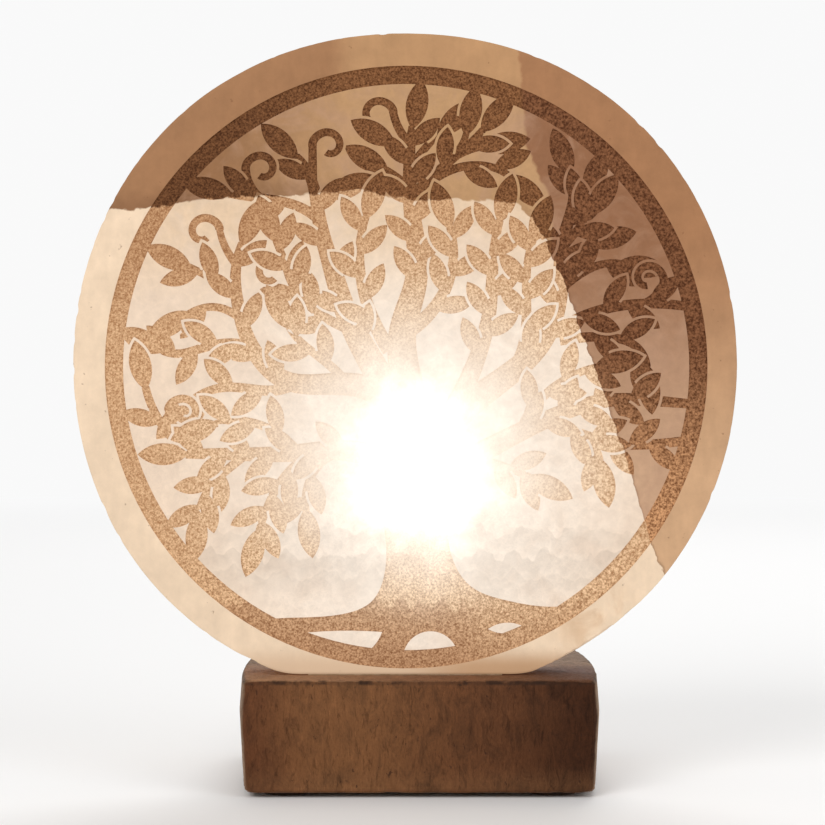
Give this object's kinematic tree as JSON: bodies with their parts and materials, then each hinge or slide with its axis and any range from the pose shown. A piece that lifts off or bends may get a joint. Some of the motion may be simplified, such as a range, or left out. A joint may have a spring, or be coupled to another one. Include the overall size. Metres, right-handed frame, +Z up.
{
  "type": "stone disc lamp",
  "caption": "Round selenite disc engraved with a ringed tree, upright on a stone block base, lit from behind by a candle bulb that screws into a small lampholder.",
  "frame": {"origin": "on the floor under the middle of the disc's width and of the base's depth", "axes": "+X to the viewer's right, +Y away from the engraved face, +Z up"},
  "size_m": [0.199, 0.092, 0.2276],
  "materials": {
    "selenite": "satin, translucent, lit from behind",
    "satin_spar": "rubbed, fibrous",
    "felt": "felt",
    "dowel_steel": "ground",
    "clear_glue": "clear glue",
    "bush_rubber": "matte",
    "holder_plastic": "moulded",
    "carrier_ceramic": "glazed",
    "contact_brass": "stamped",
    "screw_steel": "zinc plated",
    "grip_plastic": "moulded",
    "spring_steel": "spring steel",
    "solder": "solder",
    "cap_black_glass": "black glass",
    "cap_nickel": "nickel plated",
    "cement": "baked cement",
    "bulb_clear_glass": "clear",
    "wire": "drawn",
    "tungsten": "glowing"
  },
  "bodies": {
    "lamp": {"selenite_disc": "selenite", "base_block": "satin_spar", "felt_feet": "felt", "dowel_pins": "dowel_steel", "glue_bed": "clear_glue", "cord_bush": "bush_rubber", "holder_cap": "holder_plastic", "holder_skirt": "holder_plastic", "contact_carrier": "carrier_ceramic", "screw_shell": "contact_brass", "side_contact": "contact_brass", "centre_contact": "contact_brass", "terminal_screws": "screw_steel", "cord_grip": "grip_plastic", "cord_grip_screws": "screw_steel", "spring_clip": "spring_steel", "clip_screw": "screw_steel", "clip_nut": "screw_steel"},
    "bulb_tip": {"cap_contact": "solder"},
    "bulb": {"cap_insulator": "cap_black_glass", "bulb_cap": "cap_nickel", "cap_cement": "cement", "bulb_glass": "bulb_clear_glass", "bulb_stem": "bulb_clear_glass", "lead_wires": "wire", "filament": "tungsten", "filament_supports": "wire"}
  },
  "joints": [
    {"name": "bulb_rise", "type": "slide", "parent": "lamp", "child": "bulb_tip", "axis": [0, 0, 1], "range_m": [0, 0.0113]},
    {"name": "bulb_turn", "type": "hinge", "parent": "bulb_tip", "child": "bulb", "pos_m": [0.0043, 0.016, 0.0341], "axis": [0, 0, 1], "range_deg": [0, 1440]}
  ],
  "couplings": [
    {"joint": "bulb_rise", "follows": "bulb_turn", "m_per_rad": 0.00044913}
  ]
}
